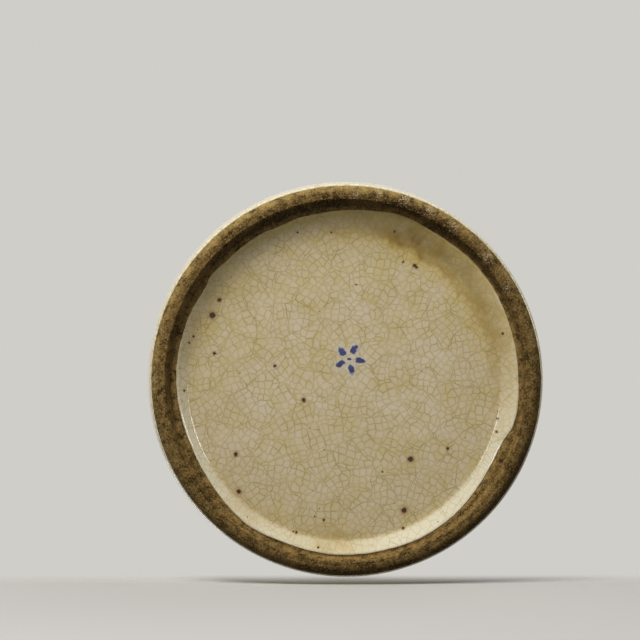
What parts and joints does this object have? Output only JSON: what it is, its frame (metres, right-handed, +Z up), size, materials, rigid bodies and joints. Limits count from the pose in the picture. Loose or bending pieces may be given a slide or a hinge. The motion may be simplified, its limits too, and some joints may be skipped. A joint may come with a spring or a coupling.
{
  "type": "lidded porcelain jar",
  "caption": "Straight-sided crackle-glazed porcelain jar with a domed lift-off lid and an unglazed, brown-washed foot ring.",
  "frame": {"origin": "centre of the foot ring's standing face", "axes": "+Z up along the jar's axis, from the foot to the lid's knob; the jar is round, so +X and +Y are free"},
  "size_m": [0.1638, 0.1638, 0.2726],
  "materials": {
    "crackle_glaze": "glossy cream glaze with a tan crackle",
    "washed_foot": "matt gritty biscuit under a dark brown iron wash",
    "bare_rim": "matt unglazed biscuit with a tan burn"
  },
  "bodies": {
    "jar": {"foot_ring": "washed_foot", "base_floor": "crackle_glaze", "lower_body": "crackle_glaze", "upper_body": "crackle_glaze", "shoulder": "crackle_glaze", "neck": "crackle_glaze"},
    "lid": {"lid_cover": "crackle_glaze", "lid_flange": "bare_rim", "lid_knob": "crackle_glaze"}
  },
  "joints": [
    {"name": "lid_lift", "type": "slide", "parent": "jar", "child": "lid", "axis": [0, 0, 1], "range_m": [0, 0.12]}
  ]
}
